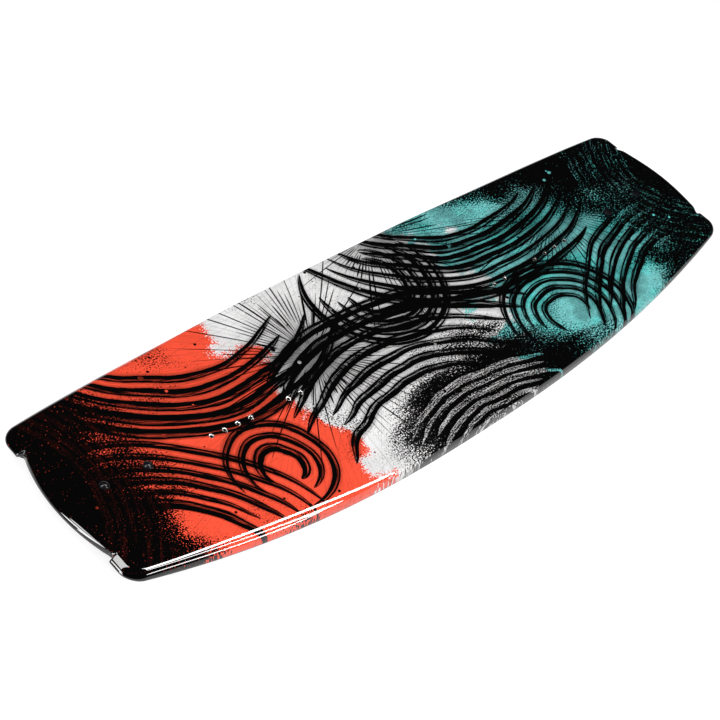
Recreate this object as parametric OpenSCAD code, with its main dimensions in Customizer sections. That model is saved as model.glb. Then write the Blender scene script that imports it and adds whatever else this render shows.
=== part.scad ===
// Wakeboard, bare deck: foam core, glass laminates, printed top sheet, base sheet,
// twelve binding inserts and two bolted centre fins.
// +X runs to the right tip, +Y across the deck, +Z up. The middle of the base is the origin.

/* [Board] */
// Straight length over both tips
board_len = 1340; // [1300:2:1400]
// Width across the middle
board_w = 402; // [384:1:420]
// Lift of the tips above the middle of the base
rocker = 69; // [50:1:76]
// Length of the flat spot in the middle of the base
flat_len = 100; // [80:10:140]
// Thickness from the middle out past the feet
mid_thick = 23.5; // [22:0.5:27]
// Thickness at the tips
tip_thick = 11; // [10:0.5:15]
// How late the board thins towards the tips
thin_power = 5.5; // [3:0.5:6]

/* [Outline] */
// How much narrower each side is where it meets the corner
side_draw = 53; // [44:0.5:56]
// Power of the side curve, higher keeps the middle straighter
side_power = 2.45; // [2:0.05:3]
// Length of the rounding at each corner, along the side and along the tip
corner_leg = 24; // [20:1:28]
// How far the corner ears stand back from the middle of the tip
ear_setback = 10; // [8:0.5:11]
// Half of the width of the hollow between the two ears
notch_half = 101; // [96:1:106]
// Radius of the deck edge across the tip
tip_radius = 520; // [400:10:600]

/* [Rail] */
// Width of the rolled deck edge at the middle of the board
mid_roll = 5; // [4:0.5:8]
// Width of the rolled deck edge beside the feet, where it is widest
shoulder_roll = 15; // [10:0.5:16]
// Width of the rolled deck edge at the ends of the board
end_roll = 11.5; // [9:0.5:13]
// How far the tip wall leans out in the middle of the tip
tip_lean = 8; // [6:0.5:9]
// Height of the seam between top sheet and base sheet
seam_h = 4; // [3.5:0.25:5]
// Inset of the rounded bottom edge
edge_round = 3; // [2:0.25:3.5]

/* [Layers] */
// Thickness of the printed top sheet and of the base sheet
sheet_t = 0.6; // [0.5:0.1:1]
// Thickness of each glass laminate
glass_t = 0.9; // [0.8:0.1:1.4]
// Width of the hard block that holds the inserts of one foot
block_w = 60; // [40:5:90]
// Depth of the hard block below the glass
block_t = 13; // [12.5:0.5:14]

/* [Binding inserts] */
// Distance from the middle of the board to the nearest insert
first_insert = 221.9; // [215:0.1:225]
// Hole spacing
insert_pitch = 25.4; // [25:0.1:25.4]
// Outer diameter of the ring seen on the deck
insert_d = 8; // [8:0.5:10]
// Diameter of the hole for the M6 thread
insert_hole_d = 5; // [4.8:0.1:5.5]
// Depth of the threaded hole
insert_depth = 11; // [10:0.5:11]

/* [Fins] */
// Distance from the middle of the board to the middle of a fin
fin_at = 557; // [550:0.5:560]
// Spacing of the two screws of a fin
fin_pitch = 76.2; // [70:0.1:80]
// Length of a fin
fin_len = 150; // [130:5:150]
// Depth of a fin
fin_depth = 24; // [20:1:26]
// Thickness of the blade where it meets the foot
blade_root = 7; // [6:0.5:9]
// Width of the foot against the base
foot_w = 17; // [15:0.5:22]
// Head diameter of the fin screws
head_d = 14; // [12:0.5:15]
// Head height of the fin screws
head_h = 3.2; // [2.5:0.1:4]
// Length of a screw under its head
screw_len = 30; // [29:0.5:31]

/* [Hidden] */

$fn = 48;
half_len = board_len / 2;
skin_t = sheet_t + glass_t;          // both layers over the core
corner_x = half_len - 35;            // where a side runs into its corner
side_end = half_len - 29;            // where the side curve has drawn in by side_draw
ear_x = half_len - ear_setback;      // outer edge of an ear
deck_lap = 6;                        // the deck edge ends its side this much sooner
wall_lean = 0.4;                     // least lean of the tip wall, beside the ears
ear_wall = 8;                        // top of that wall, behind the edge of an ear
ear_roll = 15;                       // width of the rounded end of an ear
ear_step = 3;                        // width of the step at the inner end of an ear
roll_from = 160;                     // the rolled edge starts to widen here
roll_to = 430;                       // has its full width here
roll_back = 480;                     // starts to narrow here
roll_end = 630;                      // and has its end width here
base_inset = 9;                      // edge of the flat base, inside the outline
side_steps = 13;
corner_steps = 5;
notch_steps = 8;
roll_steps = 4;
insert_steps = [0, 1, 4, 5, 6, 7];   // places of the six inserts, in pitches
flange_d = 16;                       // flange of an insert, inside the block
flange_t = 1.5;
flange_at = 3;                       // its depth below the deck
body_d = 11;                         // body of an insert below its flange
body_end = 14;
insert_sink = 0.45;                  // the ring lies just below the deck
sleeve_d = 9;
sleeve_lift = 0.5;                   // a sleeve starts this far above the base
screw_d = 6;
bore_gap = 0.4;
washer_d = 15;
washer_t = 0.8;
nut_d = 8.4;
nut_len = 11.5;
nut_sink = 1;                        // the nut starts below the face of the fin
boss_d = 12.5;
boss_len = 14;
seat_sink = 0.25;                    // spot face that squares the washer to the screw
seat_gap = 0.6;                      // how much wider the spot face is than the washer
boss_cone = 3;                       // length of the coned end of a boss
boss_tip = 5;                        // how much narrower that end is
cross_len = 6;                       // cross recess of a fin screw
cross_w = 1.2;
cross_depth = 1.6;
rim_h = 0.8;                         // straight rim under the dome of a head
over = 5;                            // how far a cut runs past the surface it opens
fin_steps = 20;
fin_rows = [0, 0.1, 0.2, 0.4, 0.65, 0.85, 0.95, 1];

// ---- curves of the board ----

function mix(a, b, t) = a + (b - a) * t;

// Smooth step from 0 to 1
function ease(t) = let (c = min(max(t, 0), 1)) c * c * (3 - 2 * c);

// Rocker: flat in the middle, then one parabola to each tip
function base_z(x) =
    rocker * pow(max(abs(x) - flat_len / 2, 0) / (half_len - flat_len / 2), 2);

function base_slope(x) =
    2 * rocker * max(x - flat_len / 2, 0) / pow(half_len - flat_len / 2, 2);

function thick(x) =
    mid_thick - (mid_thick - tip_thick) * pow(min(abs(x) / half_len, 1), thin_power);

function deck_z(x) = base_z(x) + thick(x);

// Half of the width at x, along the widest line of the rail
function side_y(x) = board_w / 2 - side_draw * pow(x / side_end, side_power);

function roll_w(x) = mix(
    mix(mid_roll, shoulder_roll, ease((x - roll_from) / (roll_to - roll_from))),
    end_roll, ease((x - roll_back) / (roll_end - roll_back)));

// Line across the tip: one arc that squares up at the ears, back from their edge
function tip_line_x(y, back) =
    let (arc = half_len - tip_lean - y * y / (2 * tip_radius),
         ear = ear_x - back - 0.03 * (y - notch_half))
    mix(arc, ear, ease((y - notch_half + 17) / 20));

// Deck edge across the tip
function deck_tip_x(y) = tip_line_x(y, ear_roll);

// Outer edge across the tip, inset by d: a hollow between two ears
function edge_tip_x(y, d) =
    let (hollow = 1 - pow(min(y / (notch_half - 9), 1), 2),
         wall = tip_line_x(y, ear_wall) + wall_lean + (tip_lean - wall_lean) * hollow,
         step = ease((y - notch_half - d) / ear_step + 0.5))
    mix(wall, ear_x, step) - d;

// Edge of the flat base across the tip, inside the hollow
function base_tip_x(y) = half_len - 10 - y * y / 600;

// ---- rings: closed loops of points, clockwise from above ----

// Points across the tip from the corner to the centre line, close together at the step
function tip_rows(y_end, notch) = concat(
    [y_end, mix(y_end, notch + ear_step / 2, 0.5)],
    [for (k = [0:3]) notch + ear_step * (0.5 - k / 3)],
    [for (k = [1:notch_steps]) (notch - ear_step / 2) * (1 - k / notch_steps)]
);

// Corner from a to b, round towards c where the two edges would meet
function corner_point(a, b, c, t) =
    let (p = mix(a, c, 0.55), q = mix(b, c, 0.55), u = 1 - t)
    u * u * u * a + 3 * u * u * t * p + 3 * u * t * t * q + t * t * t * b;

// A quarter of a ring, from the middle of the side to the middle of the tip
function quarter(x_end, y_end, notch, side, tip) =
    let (a = [x_end, side(x_end)],
         b = [tip(y_end), y_end],
         draw = side(x_end) - side(x_end - 1),
         c = [b.x, a.y + draw * (b.x - a.x)])
    concat(
        [for (i = [0:side_steps - 1]) let (x = x_end * i / side_steps) [x, side(x)]],
        [for (i = [0:corner_steps - 1]) corner_point(a, b, c, i / corner_steps)],
        [for (y = tip_rows(y_end, notch)) [tip(y), y]]
    );

function loop(q) =
    let (n = len(q) - 1)
    concat(
        q,
        [for (i = [n - 1:-1:0]) [q[i].x, -q[i].y]],
        [for (i = [1:n]) [-q[i].x, -q[i].y]],
        [for (i = [n - 1:-1:1]) [-q[i].x, q[i].y]]
    );

function edge_y(x_end) = side_y(x_end) - corner_leg - 4;

// Widest line of the board, inset by d
function edge_ring(d) = loop(quarter(corner_x, edge_y(corner_x), notch_half + d,
    function (x) side_y(x) - d, function (y) edge_tip_x(y, d)));

// Edge of the deck, inset by d
function deck_ring(d) = loop(quarter(corner_x - deck_lap, edge_y(corner_x) - end_roll + 2, notch_half + d,
    function (x) side_y(x) - roll_w(x) - d, function (y) deck_tip_x(y) - d));

// Edge of the flat base
function base_ring() = loop(quarter(corner_x - 10, edge_y(corner_x) - 12, notch_half - 12,
    function (x) side_y(x) - base_inset, function (y) base_tip_x(y)));

// ---- surfaces: rings with their heights ----

// Deck and rail at depth d below the surface, from the deck edge round to the seam
function top_rings(d) =
    let (deck = deck_ring(d), edge = edge_ring(d))
    [for (k = [0:roll_steps])
        let (a = 90 * pow(k / roll_steps, 0.85))
        [for (i = [0:len(deck) - 1])
            let (p = mix(deck[i], edge[i], sin(a)),
                 high = deck_z(deck[i].x) - d,
                 low = base_z(edge[i].x) + seam_h)
            [p.x, p.y, mix(low, high, cos(a))]]];

// Base and bottom edge at depth d inside the surface, from the flat base round to the seam
function bottom_rings(d) =
    let (flat = base_ring(), low = edge_ring(edge_round + d), edge = edge_ring(d))
    [
        [for (p = flat) [p.x, p.y, base_z(p.x) + d]],
        [for (p = low) [p.x, p.y, base_z(p.x) + d]],
        [for (i = [0:len(low) - 1])
            let (p = mix(low[i], edge[i], sin(50)))
            [p.x, p.y, base_z(p.x) + mix(seam_h, d, cos(50))]],
        [for (p = edge) [p.x, p.y, base_z(p.x) + seam_h]]
    ];

function reversed(list) = [for (i = [len(list) - 1:-1:0]) list[i]];

// Triangles between ring r and the next one
function strip(r, n) =
    [for (i = [0:n - 1])
        let (j = (i + 1) % n, a = r * n, b = a + n)
        each [[a + j, a + i, b + i], [a + j, b + i, b + j]]];

// Triangles across ring r, between points that mirror each other across the centre line
function cap(r, n) =
    let (q = n / 4)
    [for (s = [0, 2 * q])
        for (i = [0:q - 1])
            let (a = r * n + s + i,
                 b = a + 1,
                 c = r * n + s + 2 * q - i - 1,
                 d = r * n + (s + 2 * q - i) % n)
            each (b == c ? [[a, b, d]] : [[a, b, d], [b, c, d]])];

function turned(faces) = [for (f = faces) [f[2], f[1], f[0]]];

// Closed solid through a chain of rings, the first and the last ring capped
module skin(rings, upward = true) {
    n = len(rings[0]);
    last = len(rings) - 1;
    faces = concat(cap(0, n), [for (r = [0:last - 1]) each strip(r, n)], turned(cap(last, n)));
    polyhedron(points = [for (ring = rings) each ring], faces = upward ? faces : turned(faces));
}

module top_layer(from, to) skin(concat(top_rings(from), reversed(top_rings(to))));

module bottom_layer(from, to)
    skin(concat(bottom_rings(from), reversed(bottom_rings(to))), upward = false);

// ---- places ----

// Repeats its children on both halves of the board, the left one as a mirror image
module both_ends() {
    children();
    mirror([1, 0, 0]) children();
}

function insert_x(k) = first_insert + insert_steps[k] * insert_pitch;

module at_insert(k) translate([insert_x(k), 0, deck_z(insert_x(k))]) children();

fin_tilt = atan(base_slope(fin_at));

// Screw place of the right fin, square to the base, Z = 0 on the base; side is -1 in, 1 out
module at_fin_screw(side)
    translate([fin_at, 0, base_z(fin_at)])
        rotate([0, -fin_tilt, 0])
            translate([side * fin_pitch / 2, 0, 0]) children();

// Height of the deck above that place, measured along the screw
function fin_seat(side) =
    let (x = fin_at + side * fin_pitch / 2 * cos(fin_tilt),
         z = base_z(fin_at) + side * fin_pitch / 2 * sin(fin_tilt))
    (deck_z(x) - z) * cos(fin_tilt) - seat_sink;

// ---- laminate ----

module sleeve_holes()
    both_ends() for (side = [-1, 1]) at_fin_screw(side)
        translate([0, 0, -over]) cylinder(d = sleeve_d, h = fin_seat(side) + 2 * over);

module spot_faces()
    both_ends() for (side = [-1, 1]) at_fin_screw(side)
        translate([0, 0, fin_seat(side)]) cylinder(d = washer_d + seat_gap, h = over);

module neck_holes()
    both_ends() for (k = [0:5]) at_insert(k)
        translate([0, 0, -flange_at]) cylinder(d = insert_d, h = flange_at + over);

module top_sheet()
    color("#22252a") difference() {
        top_layer(0, sheet_t);
        neck_holes();
        sleeve_holes();
        spot_faces();
    }

module top_glass()
    color("#c9d6c2") difference() {
        top_layer(sheet_t, skin_t);
        neck_holes();
        sleeve_holes();
    }

module foam_core()
    color("#e8d9a8") difference() {
        skin(concat(top_rings(skin_t),
            [for (k = [2:-1:0]) bottom_rings(skin_t)[k]]));
        both_ends() block_blank();
        sleeve_holes();
    }

module bottom_glass()
    color("#c9d6c2") difference() {
        bottom_layer(sheet_t, skin_t);
        sleeve_holes();
    }

module base_sheet()
    color("#17191c") difference() {
        bottom_layer(0, sheet_t);
        sleeve_holes();
    }

// ---- hard blocks and inserts ----

// Slab right under the top glass, along the same stations as the deck
module block_blank() {
    stations = [for (i = [4:9]) (corner_x - deck_lap) * i / side_steps];
    top = [for (x = stations) [x, deck_z(x) - skin_t]];
    bottom = [for (x = reversed(stations)) [x, deck_z(x) - skin_t - block_t]];
    rotate([90, 0, 0])
        linear_extrude(height = block_w, center = true) polygon(concat(top, bottom));
}

module insert_block()
    color("#b58a52") difference() {
        block_blank();
        for (k = [0:5]) at_insert(k) insert_body();
    }

// Turned outside of an insert: ring, flange and body
module insert_body() {
    translate([0, 0, -flange_at]) cylinder(d = insert_d, h = flange_at - insert_sink);
    translate([0, 0, -flange_at - flange_t]) cylinder(d = flange_d, h = flange_t);
    translate([0, 0, -body_end]) cylinder(d = body_d, h = body_end - flange_at - flange_t);
}

module binding_insert(k)
    color("#c8cacc") difference() {
        at_insert(k) insert_body();
        at_insert(k) translate([0, 0, -insert_sink - insert_depth])
            cylinder(d = insert_hole_d, h = insert_depth + over);
    }

// ---- fins ----

// Depth of the fin along its length, from 0 at the inner end to 1 at the tip end
function fin_line(u) =
    u < 0.72 ? sin(90 * pow(u / 0.72, 0.75)) : sqrt(max(1 - pow((u - 0.72) / 0.28, 2), 0));

// Half thickness at row v of the depth, from the foot to the edge
function fin_half(v, u) =
    let (blade = mix(blade_root, 3.6, v) / 2,
         foot = (foot_w - blade_root) / 2 * pow(max(1 - v / 0.22, 0), 2),
         edge = sqrt(max(1 - pow(max(v - 0.85, 0) / 0.16, 2), 0)),
         ends = sqrt(max(1 - pow(abs(2 * u - 1), 5), 0)))
    max((blade * edge + foot) * ends, 0.5);

// Half of a cross section in the frame of the screws, foot first, above the base to start
function fin_section(u) =
    let (x = (u - 0.5) * fin_len, depth = max(fin_depth * fin_line(u), 3))
    concat([[x, fin_half(0, u), 4]], [for (v = fin_rows) [x, fin_half(v, u), -depth * v]]);

function fin_ring(u) =
    let (half = fin_section(u))
    concat(half, [for (p = reversed(half)) [p.x, -p.y, p.z]]);

// Triangles across ring r of a fin, between points that mirror each other
function rungs(r, n) =
    [for (i = [0:n / 2 - 2])
        let (a = r * n + i, b = r * n + n - 1 - i)
        each [[a, a + 1, b - 1], [a, b - 1, b]]];

module fin_blank() {
    rings = [for (i = [0:fin_steps]) fin_ring(i / fin_steps)];
    n = len(rings[0]);
    sides = [for (r = [0:fin_steps - 1]) each turned(strip(r, n))];
    polyhedron(points = [for (ring = rings) each ring],
        faces = concat(turned(rungs(0, n)), sides, rungs(fin_steps, n)));
}

// Everything above the base, along the same stations as the base sheet
module above_base() {
    q = len(base_ring()) / 4;
    line = [for (i = [5:q]) [base_ring()[i].x, base_z(base_ring()[i].x)]];
    rotate([90, 0, 0])
        linear_extrude(height = 60, center = true)
            polygon(concat(line, [[half_len, 150], [line[0].x, 150]]));
}

module fin()
    color("#1b1d20") difference() {
        union() {
            translate([fin_at, 0, base_z(fin_at)]) rotate([0, -fin_tilt, 0]) fin_blank();
            for (side = [-1, 1]) at_fin_screw(side) fin_boss();
        }
        above_base();
        for (side = [-1, 1]) at_fin_screw(side)
            translate([0, 0, -nut_len - nut_sink]) cylinder(d = nut_d, h = nut_len + nut_sink + over);
    }

// Round boss for a nut, with a coned end
module fin_boss() {
    translate([0, 0, boss_cone - boss_len]) cylinder(d = boss_d, h = boss_len);
    translate([0, 0, -boss_len]) cylinder(d1 = boss_d - boss_tip, d2 = boss_d, h = boss_cone);
}

// Tube through the board, from just above the base to the spot face
module fin_sleeve(side)
    color("#d8d8d2") difference() {
        at_fin_screw(side) translate([0, 0, sleeve_lift])
            cylinder(d = sleeve_d, h = fin_seat(side) - sleeve_lift);
        at_fin_screw(side) cylinder(d = screw_d + bore_gap, h = fin_seat(side) + over);
    }

module fin_nut(side)
    color("#c9a24a") difference() {
        at_fin_screw(side) translate([0, 0, -nut_len - nut_sink]) cylinder(d = nut_d, h = nut_len);
        at_fin_screw(side) translate([0, 0, -nut_len]) cylinder(d = screw_d, h = nut_len + over);
    }

module fin_washer(side)
    color("#141414") at_fin_screw(side) translate([0, 0, fin_seat(side)]) difference() {
        cylinder(d = washer_d, h = washer_t);
        translate([0, 0, -over]) cylinder(d = screw_d + bore_gap, h = washer_t + 2 * over);
    }

// Domed head with a cross recess, and a plain shank
module fin_screw(side)
    color("#0f1012") at_fin_screw(side) translate([0, 0, fin_seat(side) + washer_t]) difference() {
        union() {
            rotate_extrude() head_profile();
            translate([0, 0, -screw_len]) cylinder(d = screw_d - 0.1, h = screw_len);
        }
        for (turn = [0, 90]) rotate([0, 0, turn])
            translate([-cross_len / 2, -cross_w / 2, head_h - cross_depth]) cube([cross_len, cross_w, over]);
    }

// Half of the dome: a short rim and one arc up to the middle
module head_profile() {
    rise = head_h - rim_h;
    dome_r = (pow(head_d / 2, 2) + rise * rise) / (2 * rise);
    intersection() {
        translate([0, head_h - dome_r]) circle(r = dome_r, $fn = 96);
        square([head_d / 2, head_h]);
    }
}

// ---- nodes ----

top_sheet();
top_glass();
foam_core();
bottom_glass();
base_sheet();
mirror([1, 0, 0]) insert_block();  // insert_block_left
insert_block();  // insert_block_right
for (k = [0:5]) {
    mirror([1, 0, 0]) binding_insert(k);
    binding_insert(k);
}
mirror([1, 0, 0]) fin();  // fin_left
fin();  // fin_right
for (place = [["in", -1], ["out", 1]]) {
    mirror([1, 0, 0]) fin_sleeve(place[1]);
    fin_sleeve(place[1]);
    mirror([1, 0, 0]) fin_nut(place[1]);
    fin_nut(place[1]);
    mirror([1, 0, 0]) fin_washer(place[1]);
    fin_washer(place[1]);
    mirror([1, 0, 0]) fin_screw(place[1]);
    fin_screw(place[1]);
}
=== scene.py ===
import math

import bmesh
import bpy
import numpy as np
from mathutils import Matrix, Vector


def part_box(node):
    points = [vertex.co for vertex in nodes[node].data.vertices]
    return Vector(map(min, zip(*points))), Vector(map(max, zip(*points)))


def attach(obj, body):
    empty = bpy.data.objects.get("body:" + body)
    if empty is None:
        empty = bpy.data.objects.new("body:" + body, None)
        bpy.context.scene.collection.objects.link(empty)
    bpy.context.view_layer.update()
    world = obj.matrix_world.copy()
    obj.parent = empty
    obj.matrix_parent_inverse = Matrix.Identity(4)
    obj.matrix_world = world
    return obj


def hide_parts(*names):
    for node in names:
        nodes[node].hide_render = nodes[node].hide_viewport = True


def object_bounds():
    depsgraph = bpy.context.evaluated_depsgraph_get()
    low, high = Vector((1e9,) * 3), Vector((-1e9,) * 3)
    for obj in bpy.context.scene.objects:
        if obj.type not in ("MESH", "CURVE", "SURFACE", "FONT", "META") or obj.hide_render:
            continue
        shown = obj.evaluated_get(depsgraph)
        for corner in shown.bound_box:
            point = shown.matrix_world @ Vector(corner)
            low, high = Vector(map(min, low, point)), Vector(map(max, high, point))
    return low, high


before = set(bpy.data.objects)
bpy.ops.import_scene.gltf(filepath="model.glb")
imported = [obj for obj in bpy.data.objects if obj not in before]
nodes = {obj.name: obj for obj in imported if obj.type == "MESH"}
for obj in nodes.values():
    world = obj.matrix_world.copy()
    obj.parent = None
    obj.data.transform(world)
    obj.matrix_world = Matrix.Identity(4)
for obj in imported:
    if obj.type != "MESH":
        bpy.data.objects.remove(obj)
cadLow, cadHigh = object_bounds()
print("frame loaded:", len(nodes), "nodes")

mm = 0.001

camera = {
    "place": (-1.43577, -0.87937, 1.67332),
    "forward": (0.58313, 0.38267, -0.71660),
    "right": (0.70948, -0.66958, 0.21977),
    "focal": 73.932,  # mm, on a sensor 36 mm wide
}


def makeCamera():
    # three axes of the camera as the columns of its matrix
    forward = Vector(camera["forward"]).normalized()
    right = Vector(camera["right"])
    right = (right - forward * right.dot(forward)).normalized()
    up = right.cross(forward)
    lens = bpy.data.cameras.new("boardCamera")
    lens.lens = camera["focal"]
    lens.sensor_width = 36.0
    lens.clip_start = 0.05
    lens.clip_end = 60.0
    eye = bpy.data.objects.new("boardCamera", lens)
    turn = Matrix((right, up, -forward)).transposed().to_4x4()
    eye.matrix_world = Matrix.Translation(Vector(camera["place"])) @ turn
    bpy.context.scene.collection.objects.link(eye)
    bpy.context.scene.camera = eye


makeCamera()

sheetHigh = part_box("top_sheet")[1]
board = {
    "halfLength": sheetHigh.x,
    "halfWidth": sheetHigh.y,
    "rocker": 69 * mm,
    "flatHalf": 50 * mm,  # half of the flat spot of the base
    "midThick": 23.5 * mm,
    "tipThick": 11 * mm,
    "thinPower": 5.5,
    "sideDraw": 53 * mm,
    "sidePower": 2.45,
    "cornerLeg": 24 * mm,
    "earSetback": 10 * mm,
    "earWall": 8 * mm,
    "earRoll": 15 * mm,  # width of the rounded end of an ear
    "notchHalf": 101 * mm,
    "tipRadius": 520 * mm,
    "midRoll": 5 * mm,
    "shoulderRoll": 15 * mm,
    "endRoll": 11.5 * mm,
    "tipLean": 8 * mm,
    "seam": 4 * mm,  # height of the seam above the base
    "edgeRound": 3 * mm,
    "baseInset": 9 * mm,
    "sideShort": 29 * mm,  # the side curve is measured to this far from the end
    "cornerBack": 35 * mm,  # the corner starts this far from the end
    "cornerPull": 0.55,  # how far the corner's curve leans towards its meeting point
    "earSlant": 0.03,
    "earLead": 17 * mm,  # the arc of the tip turns into the ear from here, inside the notch
    "earRun": 20 * mm,
    "stepRun": 3 * mm,
    "wallLeast": 0.4 * mm,  # how far the wall leans out beside the notch
    "baseTipBack": 10 * mm,
    "baseTipRadius": 300 * mm,
    "footFrom": 0.16,  # where the roll starts to widen, and over what run
    "footRun": 0.27,
    "endFrom": 0.48,
    "endRun": 0.15,
}
holes = {
    "first": 221.9 * mm,
    "pitch": 25.4 * mm,
    "steps": (0, 1, 4, 5, 6, 7),
    "radius": 4.0 * mm,
    "window": 6.35 * mm,  # half of the square cut out of the deck's grid round a hole
    "cells": 8,  # grid cells along a side of that square
    # rings round a hole: outward and down from its edge in millimetres, share of the square
    "lip": ((0, 0, 1.0), (0, 0, 0.5), (0.25, 0, 0), (0.07, 0.07, 0), (0, 0.25, 0), (0, 0.6, 0)),
}
b = board


def mix(low, high, share):
    return low + (high - low) * share


def ease(t):
    # smooth step, 3t^2 - 2t^3 between 0 and 1
    c = np.clip(t, 0, 1)
    return c * c * (3 - 2 * c)


def baseHeight(x):
    # flat in the middle, then one parabola up to each tip
    run = (np.abs(x) - b["flatHalf"]) / (b["halfLength"] - b["flatHalf"])
    return b["rocker"] * np.maximum(run, 0) ** 2


def deckHeight(x):
    # base height plus a thickness that falls off as a high power of x
    share = np.minimum(np.abs(x) / b["halfLength"], 1) ** b["thinPower"]
    return baseHeight(x) + mix(b["midThick"], b["tipThick"], share)


def sideLine(x):
    # half of the width, a power curve drawn in towards the ends
    share = np.abs(x) / (b["halfLength"] - b["sideShort"])
    return b["halfWidth"] - b["sideDraw"] * share ** b["sidePower"]


def rollWidth(x):
    # narrow in the middle, widest beside the feet
    wide = mix(b["midRoll"], b["shoulderRoll"], ease((np.abs(x) - b["footFrom"]) / b["footRun"]))
    return mix(wide, b["endRoll"], ease((np.abs(x) - b["endFrom"]) / b["endRun"]))


def tipLine(y, back):
    # line across the tip: an arc that squares up at the ears, back from their edge
    arc = b["halfLength"] - b["tipLean"] - y * y / (2 * b["tipRadius"])
    ear = b["halfLength"] - b["earSetback"] - back - b["earSlant"] * (y - b["notchHalf"])
    return mix(arc, ear, ease((y - b["notchHalf"] + b["earLead"]) / b["earRun"]))


def deckTip(y):
    return tipLine(y, b["earRoll"])


def edgeTip(y, inset):
    # widest line across the tip: a wall that leans out most in the middle, then a step to the ear
    hollow = 1 - np.minimum(y / (b["notchHalf"] - 9 * mm), 1) ** 2
    wall = tipLine(y, b["earWall"]) + mix(b["wallLeast"], b["tipLean"], hollow)
    share = np.clip((y - b["notchHalf"] - inset) / b["stepRun"] + 0.5, 0, 1)
    thirds = np.arange(4) / 3
    step = np.maximum(ease(share), np.interp(share, thirds, ease(thirds)))
    return mix(wall, b["halfLength"] - b["earSetback"], step) - inset


def baseTip(y):
    return b["halfLength"] - b["baseTipBack"] - y * y / (2 * b["baseTipRadius"])


cornerX = b["halfLength"] - b["cornerBack"]
deckEnd = cornerX - 6 * mm
edgeHalf = float(sideLine(cornerX)) - b["cornerLeg"] - 4 * mm
holePlaces = [holes["first"] + k * holes["pitch"] for k in holes["steps"]]


def sideStations():
    # lines from the middle to the corner, closer together across each hole's window
    stops = [0.0]
    counts = []
    for place in holePlaces:
        gap = place - holes["window"] - stops[-1]
        counts += [max(4, round(gap / (4.4 * mm))), holes["cells"]]
        stops += [place - holes["window"], place + holes["window"]]
    counts.append(round((deckEnd - stops[-1]) / (4.4 * mm)))
    stops.append(deckEnd)
    parts = [np.linspace(s, e, n, endpoint=False) for s, e, n in zip(stops, stops[1:], counts)]
    return np.concatenate(parts) / deckEnd


sideShares = sideStations()
cornerShares = np.arange(22) / 22


def tipRows(yEnd, notch):
    # rows across the tip from the corner to the middle, close together at the step of the ear
    half = 1.5 * mm
    outer = np.linspace(yEnd, notch + half, 10, endpoint=False)
    step = np.linspace(notch + half, notch - half, 10, endpoint=False)
    inner = (notch - half) * (1 - np.linspace(0, 1, 46))
    return np.concatenate([outer, step, inner])


def quarter(xEnd, yEnd, notch, side, tip):
    # a quarter of a ring: the side, a cubic round the corner, the tip
    start = np.array([xEnd, side(xEnd)])
    end = np.array([tip(yEnd), yEnd])
    draw = (side(xEnd) - side(xEnd - mm)) / mm
    meet = np.array([end[0], start[1] + draw * (end[0] - start[0])])
    near, far = mix(start, meet, b["cornerPull"]), mix(end, meet, b["cornerPull"])
    t = cornerShares[:, None]
    u = 1 - t
    bend = u**3 * start + 3 * u * u * t * near + 3 * u * t * t * far + t**3 * end
    x = xEnd * sideShares
    rows = tipRows(yEnd, notch)
    return np.concatenate([np.stack([x, side(x)], 1), bend, np.stack([tip(rows), rows], 1)])


def chain(part):
    # from the left tip along the far side to the right tip
    return np.concatenate([part[:0:-1] * [-1, 1], part])


def edgeChain(inset):
    return chain(quarter(cornerX, edgeHalf, b["notchHalf"] + inset,
                         lambda x: sideLine(x) - inset, lambda y: edgeTip(y, inset)))


deckChain = chain(quarter(deckEnd, edgeHalf - b["endRoll"] + 2 * mm, b["notchHalf"],
                          lambda x: sideLine(x) - rollWidth(x), deckTip))
seamChain = edgeChain(0.0)
baseChain = chain(quarter(cornerX - 10 * mm, edgeHalf - 12 * mm, b["notchHalf"] - 12 * mm,
                          lambda x: sideLine(x) - b["baseInset"], baseTip))


def place(plan, height):
    return np.concatenate([plan, height[:, None]], 1)


def rollRows(count):
    # quarter of an ellipse from the deck edge out and down to the seam
    rows = []
    high, low = deckHeight(deckChain[:, 0]), baseHeight(seamChain[:, 0]) + b["seam"]
    for a in np.linspace(0, math.pi / 2, count):
        rows.append(place(mix(deckChain, seamChain, math.sin(a)), mix(low, high, math.cos(a))))
    return np.stack(rows)


def lowerRows(count):
    # round the bottom edge from the seam, then in to the flat base
    inner = edgeChain(b["edgeRound"])
    rows = []
    for a in np.linspace(math.pi / 2, 0, count):
        plan = mix(inner, seamChain, math.sin(a))
        rows.append(place(plan, baseHeight(plan[:, 0]) + mix(b["seam"], 0, math.cos(a))))
    rows.append(place(mix(inner, baseChain, 0.5), baseHeight(mix(inner, baseChain, 0.5)[:, 0])))
    rows.append(place(baseChain, baseHeight(baseChain[:, 0])))
    return np.stack(rows)


def acrossLines(reach, fixed, count):
    # columns from one edge to the other: lines held near the middle, spread evenly beyond them,
    # and one just inside each edge, so that the shading bends only beside the roll
    lines = np.linspace(-fixed, fixed, holes["cells"] + 1)
    outer = mix(fixed, reach, np.linspace(0, 1, count + 1)[1:])
    outer = np.concatenate([outer[:-1], [reach - min(3 * mm, reach / 12), reach]])
    return np.concatenate([-outer[::-1], lines, outer])


def flatGrid(line, height, count):
    # rungs across the board between a chain and its mirror image
    reach = line[:, 1]
    widest = reach.max()
    even = acrossLines(widest, holes["window"], count) / widest
    held = np.stack([acrossLines(max(r, 2 * holes["window"]), holes["window"], count) for r in reach])
    share = ease((reach - 0.06) / 0.05)[:, None]
    share = share * ease((0.6 - np.abs(line[:, 0])) / 0.08)[:, None]
    y = mix(even[None, :] * reach[:, None], held, share)
    x = np.repeat(line[:, :1], y.shape[1], 1)
    return np.stack([x, y, np.repeat(height(line[:, 0])[:, None], y.shape[1], 1)], -1)


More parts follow.
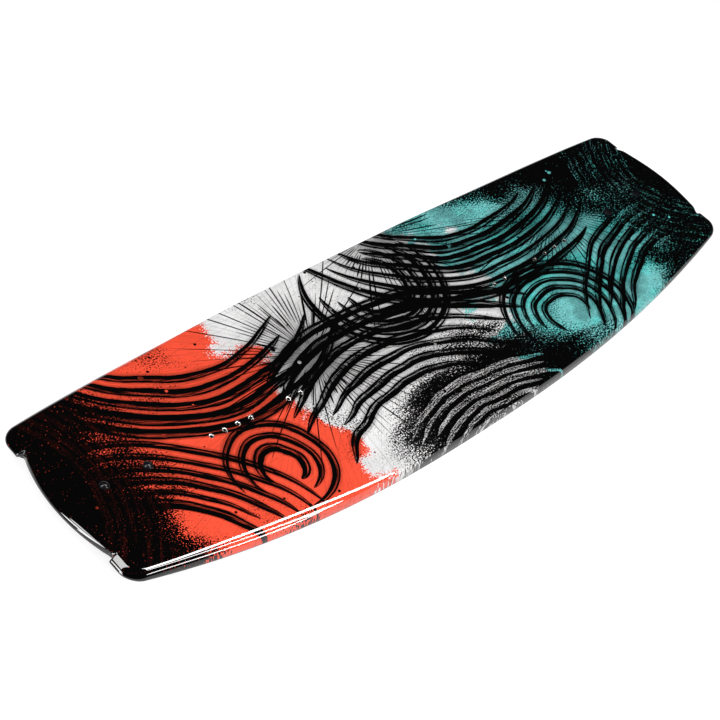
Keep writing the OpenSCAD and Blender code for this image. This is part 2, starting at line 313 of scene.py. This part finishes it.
def wholeGrid(flat, rows):
    # near rail, flat part, far rail: one grid from seam to seam
    far = np.transpose(rows[1:], (1, 0, 2))
    near = far[:, ::-1] * [1, -1, 1]
    return np.concatenate([near, flat, far], 1)


def gridFaces(rows, columns, keep=None, flip=False):
    i, j = np.meshgrid(np.arange(rows - 1), np.arange(columns - 1), indexing="ij")
    if keep is not None:
        i, j = i[keep], j[keep]
    first = (i * columns + j).ravel()
    quads = np.stack([first, first + columns, first + columns + 1, first + 1], 1)
    return quads[:, ::-1] if flip else quads


def makeMesh(name, pieces, merge=2e-6):
    # pieces are pairs of a point array and a face array
    points, faces, start = [], [], 0
    for array, quads in pieces:
        flatPoints = array.reshape(-1, 3)
        points.append(flatPoints)
        faces.append(quads + start)
        start += len(flatPoints)
    mesh = bpy.data.meshes.new(name)
    mesh.from_pydata(np.concatenate(points).tolist(), [], np.concatenate(faces).tolist())
    work = bmesh.new()
    work.from_mesh(mesh)
    bmesh.ops.remove_doubles(work, verts=work.verts, dist=merge)
    work.to_mesh(mesh)
    work.free()
    mesh.polygons.foreach_set("use_smooth", np.ones(len(mesh.polygons), bool))
    mesh.update()
    piece = bpy.data.objects.new(name, mesh)
    bpy.context.scene.collection.objects.link(piece)
    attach(piece, "root")
    return piece


def squareRing(centre):
    # corners of the window's cells, once round from its lower left corner
    s, e = -holes["window"], holes["window"]
    side = np.linspace(s, e, holes["cells"], endpoint=False)
    x = np.concatenate([side, np.full(side.size, e), -side, np.full(side.size, s)])
    y = np.concatenate([np.full(side.size, s), side, np.full(side.size, e), -side])
    return np.stack([x + centre, y], 1)


def holeRim(centre):
    # from the window's square in to the hole, round its lip and down through the sheet
    square = squareRing(centre)
    angle = np.arctan2(square[:, 1], square[:, 0] - centre)
    circle = np.stack([np.cos(angle), np.sin(angle)], 1)
    rows = []
    for radius, drop, share in holes["lip"]:
        ring = circle * (holes["radius"] + radius * mm) + [centre, 0]
        plan = mix(ring, square, share)
        rows.append(place(plan, deckHeight(plan[:, 0]) - drop * mm))
    rows = np.stack(rows)
    return np.concatenate([rows, rows[:, :1]], 1)


def makeTopSheet():
    rows = rollRows(17)
    flat = flatGrid(deckChain, deckHeight, 16)
    grid = wholeGrid(flat, rows)
    middle = (grid[1:, 1:] + grid[:-1, :-1]) / 2
    keep = np.ones(middle.shape[:2], bool)
    for centre in holePlaces + [-p for p in holePlaces]:
        inside = np.abs(middle[..., 0] - centre) < holes["window"]
        keep &= ~(inside & (np.abs(middle[..., 1]) < holes["window"]))
    parts = [(grid, gridFaces(*grid.shape[:2], keep=keep))]
    for centre in holePlaces + [-p for p in holePlaces]:
        rim = holeRim(centre)
        parts.append((rim, gridFaces(*rim.shape[:2], flip=True)))
    piece = makeMesh("printedDeck", parts)
    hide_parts("top_sheet")
    return piece


def makeBaseSheet():
    rows = lowerRows(7)
    grid = wholeGrid(flatGrid(baseChain, baseHeight, 8), rows[::-1])
    piece = makeMesh("baseSheet", [(grid, gridFaces(*grid.shape[:2], flip=True))])
    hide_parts("base_sheet")
    return piece


topSheet = makeTopSheet()
baseSheet = makeBaseSheet()
print("shells made:", len(topSheet.data.polygons), len(baseSheet.data.polygons), "faces")


insert = {
    # radii and lengths in millimetres, heights under the deck
    "steps": 56,
    "threads": 9,
    "pitch": 1.0,
    "bore": 2.5,
    "groove": 0.35,
    "chamfer": 3.0,
    "depth": 11.45,
    "face": 0.45,  # the ring's face lies this far under the deck
    "rim": 3.99,
    "flange": 8.0,
    "flangeTop": 3.0,
    "flangeBase": 4.5,
    "barrel": 5.5,
    "foot": 14.0,
}


def insertProfile():
    # radius and height under the deck, up the threaded bore, over the ring and down the outside
    v = insert
    bore, groove, pitch, rim, face = v["bore"], v["groove"], v["pitch"], v["rim"], v["face"]
    rows = [(0, -v["depth"]), (bore, -v["depth"])]
    for k in range(v["threads"]):
        z = -v["depth"] + 0.4 + k * pitch
        rows += [(bore, z), (bore + groove, z + 0.45 * pitch), (bore, z + 0.9 * pitch)]
    rows += [(bore, -1.05), (bore + 0.05, -0.97), (v["chamfer"] - 0.05, -0.52), (v["chamfer"], -0.47)]
    rows += [(v["chamfer"] + 0.06, -face), (rim - 0.25, -face), (rim - 0.19, -0.46), (rim - 0.04, -0.57)]
    rows += [(rim, -0.65), (rim, -v["flangeTop"]), (v["flange"], -v["flangeTop"])]
    rows += [(v["flange"], -v["flangeBase"]), (v["barrel"], -v["flangeBase"])]
    rows += [(v["barrel"], -v["foot"]), (0, -v["foot"])]
    return np.array(rows) * mm


def turned(profile, centre, steps):
    # a profile of radii and heights turned once round an upright axis
    angle = np.linspace(0, 2 * math.pi, steps + 1)
    plan = np.stack([np.cos(angle), np.sin(angle)], -1)[None] * profile[:, :1, None]
    high = np.repeat(profile[:, 1:], steps + 1, 1)[..., None]
    return np.concatenate([plan, high], -1) + np.array(centre)


def makeInserts():
    made = []
    profile = insertProfile()
    for side, word in ((1, "right"), (-1, "left")):
        for k, place in enumerate(holePlaces):
            x = side * place
            grid = turned(profile, (x, 0, float(deckHeight(np.array(x)))), insert["steps"])
            faces = gridFaces(*grid.shape[:2], flip=True)
            piece = makeMesh(f"insertRing_{word}_{k + 1}", [(grid, faces)])
            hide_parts(f"insert_{word}_{k + 1}")
            made.append(piece)
    return made


inserts = makeInserts()
print("inserts turned:", len(inserts))


class Wire:
    # one socket of a material's tree: sums and products of wires add Math nodes
    def __init__(self, tree, socket=None):
        self.tree = tree
        self.socket = socket

    def node(self, kind, settings=None, inputs=None, out=0):
        # settings first, then the values or links of the sockets
        made = self.tree.nodes.new("ShaderNode" + kind)
        for name, value in (settings or {}).items():
            setattr(made, name, value)
        for name, value in (inputs or {}).items():
            if isinstance(value, Wire):
                self.tree.links.new(value.socket, made.inputs[name])
            else:
                made.inputs[name].default_value = value
        return Wire(self.tree, made.outputs[out])

    def math(self, operation, *values):
        return self.node("Math", {"operation": operation}, dict(enumerate(values)))

    def __add__(self, other):
        return self.math("ADD", self, other)

    def __sub__(self, other):
        return self.math("SUBTRACT", self, other)

    def __rsub__(self, other):
        return self.math("SUBTRACT", other, self)

    def __mul__(self, other):
        return self.math("MULTIPLY", self, other)

    def __truediv__(self, other):
        return self.math("DIVIDE", self, other)

    def __pow__(self, other):
        return self.math("POWER", self, other)

    __radd__ = __add__
    __rmul__ = __mul__

    def least(self, other):
        return self.math("MINIMUM", self, other)

    def most(self, other):
        return self.math("MAXIMUM", self, other)

    def size(self):
        return self.math("ABSOLUTE", self)

    def rise(self, low, high, bottom=0.0, top=1.0):
        # smooth step from bottom at low to top at high
        names = ("Value", "From Min", "From Max", "To Min", "To Max")
        return self.node("MapRange", {"interpolation_type": "SMOOTHSTEP"},
                         dict(zip(names, (self, low, high, bottom, top))))

    def noise(self, scale, detail=2.0, rough=0.5, out=0):
        return self.node("TexNoise", {"noise_dimensions": "3D"},
                         {"Vector": self, "Scale": scale, "Detail": detail, "Roughness": rough}, out)

    def cells(self, scale, out=0):
        return self.node("TexVoronoi", None, {"Vector": self, "Scale": scale}, out)

    def point(self, x, y, z=0.0):
        return self.node("CombineXYZ", None, {"X": x, "Y": y, "Z": z})

    def tint(self, low, high):
        # this value as the share of the second of two colours
        colors = [c if isinstance(c, Wire) else (*c, 1) for c in (low, high)]
        return self.node("Mix", {"data_type": "RGBA"}, {0: self, 6: colors[0], 7: colors[1]}, 2)

    def bump(self, distance, strength=1.0):
        return self.node("Bump", None, {"Height": self, "Distance": distance, "Strength": strength})


def newMaterial(name, **fixed):
    # fixed values go straight onto the shader's sockets
    material = bpy.data.materials.new(name)
    material.use_nodes = True
    shader = material.node_tree.nodes["Principled BSDF"]
    for socket, value in fixed.items():
        shader.inputs[socket.replace("_", " ")].default_value = value
    wire = Wire(material.node_tree)
    spot = wire.node("TexCoord", out=3)
    return material, spot, shader


def connect(shader, **wires):
    for socket, wire in wires.items():
        wire.tree.links.new(wire.socket, shader.inputs[socket.replace("_", " ")])


def parts(spot):
    # x, y and z of a point, in millimetres
    scaled = spot.node("VectorMath", {"operation": "SCALE"}, {"Vector": spot, "Scale": 1000.0})
    return scaled, [spot.node("SeparateXYZ", None, {0: scaled}, k) for k in range(3)]


inkPrint = {
    "coral": (1.0, 0.096, 0.046),
    "paper": (0.9, 0.89, 0.89),
    "teal": (0.24, 0.74, 0.73),
    "turquoise": (0.14, 0.9, 0.84),
    "ink": (0.0006, 0.0006, 0.0007),
    "grain": 2.6,  # mm, size of a speck
    # sweeps: centre x and y, radius, half width, strokes, from and to in degrees, dryness
    "sweeps": (
        (-650, -250, 268, 66, 6, 14, 112, 0.6),
        (-300, 350, 300, 66, 5, 200, 305, 0.45),
        (-345, -95, 58, 34, 3, -70, 215, 0.8),
        (-60, -330, 340, 92, 7, 128, 50, 0.5),
        (40, 110, 92, 42, 4, 150, 400, 0.6),
        (310, 350, 310, 84, 7, 205, 300, 0.5),
        (285, -120, 78, 46, 5, 200, -40, 0.65),
        (560, -300, 250, 54, 5, 70, 150, 0.7),
    ),
    # dry sweeps that show in the black, with their strength and how sparse their specks are
    "ghosts": (
        ((760, 10, 190, 60, 8, 120, 235, 0.9), 0.8, 0.66),
        ((20, -450, 290, 50, 6, 62, 118, 0.8), 0.75, 0.5),
        ((-800, 40, 240, 50, 6, -45, 50, 0.9), 0.04, 0.55),
    ),
    # bursts: centre x and y, first and last radius, rays, widest ray
    "bursts": (
        (-150, 50, 24, 190, 96, 2.6),
        (-150, 50, 10, 110, 40, 4.0),
        (430, 60, 22, 170, 84, 2.6),
        (110, 200, 16, 200, 90, 3.4),
    ),
}


def polar(x, y, centreX, centreY, middle=0.0):
    # distance from a centre and angle from the direction called middle
    c, s = math.cos(middle), math.sin(middle)
    dx, dy = x - centreX, y - centreY
    near, side = dx * c + dy * s, dy * c - dx * s
    return x.math("SQRT", near * near + side * side), x.math("ARCTAN2", side, near)


def lot(wire, seed):
    # a different number between 0 and 1 for each whole number
    return wire.node("TexWhiteNoise", {"noise_dimensions": "1D"}, {"W": wire + seed})


def sweep(x, y, values):
    # brush strokes round one centre: v runs from -1 to 1 along them, u from -1 to 1 across each
    centreX, centreY, radius, half, count, start, end, dryness = values
    middle, reach = math.radians(start + end) / 2, math.radians(end - start) / 2
    distance, angle = polar(x, y, centreX, centreY, middle)
    seed = centreX * 0.37 + centreY * 0.11
    v = angle / reach
    wave = x.point(v * 1.6, distance / 160.0 + seed).noise(1.0, 1.0)
    out = (distance - radius + (wave - 0.5) * (half * 0.45)) / (2.0 * half) + 0.5
    lane = out * count
    index = lane.math("FLOOR", lane)
    chance = lot(index, seed)
    other = lot(index, seed + 40.3)
    shifted = v + (chance - 0.5) * 0.45
    taper = (1.0 - shifted.size() ** 3.0).most(0.0) ** 0.5
    u = ((lane - index - 0.5) * 2.0) / (taper * (other * 0.4 + 0.5)).most(0.001)
    inside = (out - 0.5).size().rise(0.5, 0.497)
    run = angle * (radius / 80.0)
    bristle = x.point(distance * 0.6, run + seed).noise(1.0, 2.0, 0.6)
    fine = x.point(distance * 1.3, run * 1.4 - seed).noise(1.0, 1.0, 0.6)
    load = 0.64 - 0.62 * (u.size() ** 4.0) - (shifted * 0.5 + 0.5).most(0.0) ** 2.0 * (dryness * 0.55)
    cover = (bristle + load).rise(0.47, 0.53) * inside
    # a pale streak inside each stroke, and a soft shade beside it
    streak = (u - 0.3 + (bristle - 0.5) * 1.2).size().rise(0.24, 0.08) * fine.rise(0.44, 0.6)
    shade = u.size().rise(2.1, 0.9) * inside * taper
    return cover, streak * cover, shade, fine


def burst(x, y, values):
    # thin rays of uneven length, widest in the middle of their run
    centreX, centreY, first, last, rays, widest = values
    distance, angle = polar(x, y, centreX, centreY)
    turn = angle * (rays / (2 * math.pi)) + (distance / 60.0).math("SINE", distance / 60.0) * 0.2
    index = turn.math("FLOOR", turn)
    chance, other = lot(index, centreX), lot(index, centreX + 70.7)
    along = (distance - first - chance * 50.0) / (other ** 1.5 * (last - first) + 24.0)
    body = (along * (1.0 - along)).most(0.0) ** 0.5
    width = body * (chance * (widest - 1.0) + 1.0)
    off = (turn - index - 0.5).size() * distance * (2 * math.pi / rays)
    shade = distance.rise(last * 0.8, first, 0.0, 0.6) * distance.rise(first * 0.4, first)
    return (width - off).rise(-0.5, 0.5), shade


def makePrint():
    material, spot, shader = newMaterial("printedTop", Roughness=0.6, Specular_IOR_Level=0.0,
                                         Coat_Weight=1.0, Coat_Roughness=0.03, Coat_IOR=1.5)
    place, (x, y, z) = parts(spot)
    p = inkPrint
    flat = spot.point(x, y)
    grain = flat.noise(1.0 / p["grain"], 1.0, 0.5) - 0.5
    dust = flat.noise(0.8, 1.0, 0.6) - 0.5
    cloud = flat.noise(0.011, 3.0, 0.55) - 0.5
    drift = x.point(x * 0.004 + 9.0, y * 0.02).noise(1.0, 3.0, 0.6) - 0.5
    # ground: coral, paper and teal with speckled borders
    border = x + cloud * 300.0 + grain * 90.0
    toPaper = (border + y * 0.12).rise(-238.0, -232.0)
    toTeal = (border + drift * 260.0).rise(180.0, 186.0)
    teal = (cloud * 1.4 + drift + x * 0.0006).rise(0.1, 0.5).tint(p["teal"], p["turquoise"])
    ground = toTeal.tint(toPaper.tint(p["coral"], p["paper"]), teal)
    # bare: 1 where the ground is clear, 0 where it is sprayed black
    left = (x - y * 0.1 + cloud * 170.0).rise(-595.0, -430.0, 0.04)
    right = (x - y * 0.2 + cloud * 320.0 + drift * 200.0).rise(650.0, 390.0, 0.1)
    corner = (x + y * 1.5 + cloud * 260.0).rise(700.0, 430.0)
    near = (y + drift * 160.0 + (x - 60.0).size().rise(340.0, 60.0) * -190.0).rise(-330.0, -150.0)
    dusk = flat.noise(0.0065, 2.0, 0.5).rise(0.32, 0.56, 0.5, 1.1)
    bare = left * right * near * corner * dusk * (1.0 - toTeal * 0.12)
    spray = (bare * 1.3 - 0.55 + grain * 2.0 + dust * 0.5).rise(-0.1, 0.14)
    grit = toTeal * 0.3 + toPaper * 0.05 + 0.1
    shade = grit * (flat.noise(0.02, 3.0, 0.6) + grain * 0.35).rise(0.62, 0.36)
    tone = spray * (1.0 - shade) * (1.0 - (dust + grit * 0.3).rise(0.16, 0.24) * 0.7)
    for values in p["bursts"]:
        rays, dark = burst(x, y, values)
        tone = tone * (1.0 - rays) * (1.0 - dark * (0.7 + dust))
    for values in p["sweeps"]:
        cover, streak, dark, fine = sweep(x, y, values)
        pale = tone * (0.25 + fine * 0.6)
        tone = (tone * (1.0 - cover) * (1.0 - dark * (0.45 + dust * 0.9))).most(streak * pale)
    for values, strength, sparse in p["ghosts"]:
        cover, streak, dark, fine = sweep(x, y, values)
        dry = (fine + grain * 0.8).rise(sparse, sparse + 0.16)
        tone = tone.most(cover * dry * strength)
    dots = flat.cells(0.05)
    blot = flat.node("SeparateXYZ", None, {0: flat.cells(0.05, 1)}) ** 4.0
    drops = (dots - blot * 0.2).rise(0.03, 0.0)
    dark = (0.5 - tone).rise(-0.1, 0.1)
    tone = tone * (1.0 - drops)
    tone = tone.most(drops * dark * (cloud + 0.5).rise(0.5, 0.62) * 0.8)
    connect(shader, Base_Color=tone.tint(p["ink"], ground))
    connect(shader, Normal=flat.noise(0.02, 2.0, 0.5).bump(0.00002))
    return material


def makeBaseFinish():
    material, spot, shader = newMaterial("moldedBase", Specular_IOR_Level=0.25,
                                         Coat_Weight=0.25, Coat_Roughness=0.04)
    place, (x, y, z) = parts(spot)
    cloud = place.noise(0.02, 4.0, 0.6)
    brushed = place.point(x * 0.02, y * 0.8, z * 0.1).noise(1.0, 3.0, 0.6)
    connect(shader, Base_Color=cloud.tint((0.006, 0.006, 0.007), (0.016, 0.016, 0.018)))
    connect(shader, Roughness=brushed.rise(0.3, 0.7, 0.2, 0.32))
    connect(shader, Normal=place.noise(0.5, 2.0).bump(0.00002))
    return material


def makeMetal(name, color, rough):
    # turned metal: fine rings round the vertical axis show as noise stretched across z
    material, spot, shader = newMaterial(name, Metallic=1.0)
    place, (x, y, z) = parts(spot)
    turned = place.point(x * 0.4, y * 0.4, z * 6.0).noise(1.0, 3.0, 0.6)
    dark = tuple(c * 0.75 for c in color)
    connect(shader, Base_Color=turned.tint(dark, color))
    connect(shader, Roughness=turned.rise(0.3, 0.7, rough, rough + 0.12))
    connect(shader, Normal=turned.bump(0.00002))
    return material


def makeInsertSteel():
    # bright on the faces that look up; down in the bore the faces are dull and painted near black, which
    # is painted shade in the bore
    material, spot, shader = newMaterial("insertSteel", Metallic=1.0)
    place, (x, y, z) = parts(spot)
    turned = place.point(x * 0.4, y * 0.4, z * 6.0).noise(1.0, 3.0, 0.6)
    normal = spot.node("NewGeometry", out=1)
    # share that looks up: 1 on the ring's face, 0 on the bore walls and threads, where the painted shade
    # goes
    up = normal.node("SeparateXYZ", None, {0: normal}, 2).rise(0.2, 0.55)
    steel = turned.tint((0.3, 0.3, 0.29), (0.5, 0.49, 0.48))
    # the near-black colour on faces that don't look up is painted shade in the bore, not a colour of the
    # steel
    connect(shader, Base_Color=up.tint((0.03, 0.03, 0.03), steel))
    connect(shader, Roughness=turned.rise(0.3, 0.7, 0.2, 0.32) + (1.0 - up) * 0.3)
    connect(shader, Normal=turned.bump(0.00001))
    return material


def makePlastic(name, color, rough, scale=0.8, coat=0.0, shine=0.5):
    # moulded plastic: fine pebbled grain with slow cloudy changes of tone
    material, spot, shader = newMaterial(name, Specular_IOR_Level=shine,
                                         Coat_Weight=coat, Coat_Roughness=0.05)
    place, (x, y, z) = parts(spot)
    cloud = place.noise(0.06, 3.0, 0.55)
    pebble = place.noise(scale, 2.0, 0.55)
    pale = tuple(min(c * 1.5 + 0.004, 1.0) for c in color)
    connect(shader, Base_Color=cloud.tint(color, pale))
    connect(shader, Roughness=pebble.rise(0.3, 0.7, rough, rough + 0.1))
    connect(shader, Normal=pebble.bump(0.00004))
    return material


finishes = {
    "printed_top": makePrint(),
    "base_plastic": makeBaseFinish(),
    "glass_laminate": makePlastic("glassLaminate", (0.008, 0.009, 0.008), 0.3, 1.2),
    "core_foam": makePlastic("coreFoam", (0.62, 0.52, 0.3), 0.85, 1.6),
    "hard_block": makePlastic("hardBlock", (0.05, 0.05, 0.055), 0.5),
    "insert_steel": makeInsertSteel(),
    "fin_plastic": makePlastic("finPlastic", (0.008, 0.008, 0.009), 0.32, 1.0, 0.3),
    "sleeve_plastic": makePlastic("sleevePlastic", (0.03, 0.03, 0.033), 0.45),
    "nut_brass": makeMetal("nutBrass", (0.72, 0.5, 0.22), 0.25),
    "washer_plastic": makePlastic("washerPlastic", (0.004, 0.004, 0.005), 0.35, shine=0.15),
    "screw_black": makePlastic("screwBlack", (0.004, 0.004, 0.005), 0.1, 0.6, shine=0.2),
}
nodeFinish = (
    ("top_sheet", "printed_top"), ("base_sheet", "base_plastic"), ("top_glass", "glass_laminate"),
    ("bottom_glass", "glass_laminate"), ("foam_core", "core_foam"), ("insert_block", "hard_block"),
    ("insert_", "insert_steel"), ("fin_sleeve", "sleeve_plastic"), ("fin_nut", "nut_brass"),
    ("fin_washer", "washer_plastic"), ("fin_screw", "screw_black"), ("fin_", "fin_plastic"),
)
topSheet.data.materials.append(finishes["printed_top"])
baseSheet.data.materials.append(finishes["base_plastic"])
for piece in inserts:
    piece.data.materials.append(finishes["insert_steel"])


def dressNodes():
    # each node takes the first finish whose name starts its own
    for name in nodes:
        finish = next(slot for start, slot in nodeFinish if name.startswith(start))
        for slot in bpy.data.objects[name].material_slots:
            slot.material = finishes[finish]


dressNodes()
print("finishes made:", len(finishes))


stage = {
    "floorSize": 30.0,
    "floorDrop": 0.3 * mm,
    "floorTone": 0.45,  # what the lamps light
    "floorGlow": 0.75,  # added for rays from the camera, mirrors and glass
    "room": 0.03,
}


def makeStage():
    level = cadLow.z - stage["floorDrop"]
    bpy.ops.mesh.primitive_plane_add(size=stage["floorSize"], location=(0, 0, level))
    floor = bpy.context.object
    floor.name = "floor"
    material, spot, shader = newMaterial("floorPaint", Roughness=0.9)
    mottle = spot.noise(6.0, 3.0, 0.5)
    tone = stage["floorTone"]
    connect(shader, Base_Color=mottle.tint((tone * 0.985,) * 3, (tone,) * 3))
    seen = [spot.node("LightPath", out=k) for k in (0, 3, 6)]
    glow = (seen[0] + seen[1] + seen[2]).least(1.0) * stage["floorGlow"]
    shader.inputs["Emission Color"].default_value = (1, 1, 1, 1)
    material.node_tree.links.new(glow.socket, shader.inputs["Emission Strength"])
    floor.data.materials.append(material)
    world = bpy.data.worlds.new("room")
    bpy.context.scene.world = world
    world.use_nodes = True
    world.node_tree.nodes["Background"].inputs[0].default_value = (1, 1, 1, 1)
    world.node_tree.nodes["Background"].inputs[1].default_value = stage["room"]


def lamp(name, place, target, size, power):
    # a flat rectangular lamp that faces its target
    light = bpy.data.lights.new(name, "AREA")
    light.shape = "RECTANGLE"
    light.size, light.size_y = size
    light.energy = power
    made = bpy.data.objects.new(name, light)
    made.location = place
    aim = Vector(target) - Vector(place)
    made.rotation_mode = "QUATERNION"
    made.rotation_quaternion = aim.to_track_quat("-Z", "Y")
    made.visible_camera = False
    made.visible_glossy = False
    bpy.context.scene.collection.objects.link(made)
    return made


lamps = {
    # place, point it faces, width and length, power
    "key": ((-1.2, -1.5, 2.8), (0, 0, 0), (2.2, 2.0), 138),
    "fill": ((-1.8, 2.2, 1.6), (0, 0, 0), (1.4, 1.4), 30),
}
strips = {
    # start and end of the middle line, a point it faces, width, brightness, and a grid's angle
    "deckEdge": ((0.274, 0.134, 1.376), (0.706, 0.037, 1.094), (-0.35, -0.18, 0.04), 0.50, 30, 50),
    "upperRail": ((-0.06, -0.27, 0.97), (0.17, -1.05, 0.20), (-0.42, -0.17, 0.05), 0.07, 30),
    "lowerRail": ((-0.26, -0.90, 0.62), (0.06, -0.98, 0.09), (-0.42, -0.17, 0.05), 0.10, 30),
    "earTop": ((-0.28, 0.31, 1.23), (-1.05, 0.31, 1.13), (-0.66, -0.11, 0.08), 0.23, 15),
    "tipFace": ((-2.02, 0.74, 1.31), (-2.24, 0.00, 1.31), (-0.66, -0.05, 0.08), 0.90, 22),
    "tipStep": ((-2.66, 0.04, 0.19), (-2.44, 0.03, 0.99), (-0.66, -0.05, 0.08), 0.74, 25),
}


def strip(name, start, end, target, width, brightness, grid=180):
    # a lamp seen only in the gloss: its long side runs from start to end
    a, c = Vector(start), Vector(end)
    middle = (a + c) / 2
    long = (c - a).normalized()
    face = middle - Vector(target)
    face = (face - long * face.dot(long)).normalized()
    length = (c - a).length
    made = lamp(name, middle, target, (length, width), brightness * math.pi * length * width)
    if grid < 180:
        # a grid darkens the lamp away from its axis: full brightness is set at 12 degrees
        half = math.radians(grid) / 2
        made.data.spread = 2 * half
        made.data.energy *= (math.tan(half) - half) / (math.tan(half) - math.tan(math.radians(12)))
    turn = Matrix((long, face.cross(long), face)).transposed().to_quaternion()
    made.rotation_quaternion = turn
    made.visible_glossy = True
    made.visible_diffuse = False


makeStage()
for name, values in lamps.items():
    lamp(name, *values)
for name, values in strips.items():
    strip(name, *values)
bpy.context.scene.view_settings.view_transform = "Standard"
print("stage set")
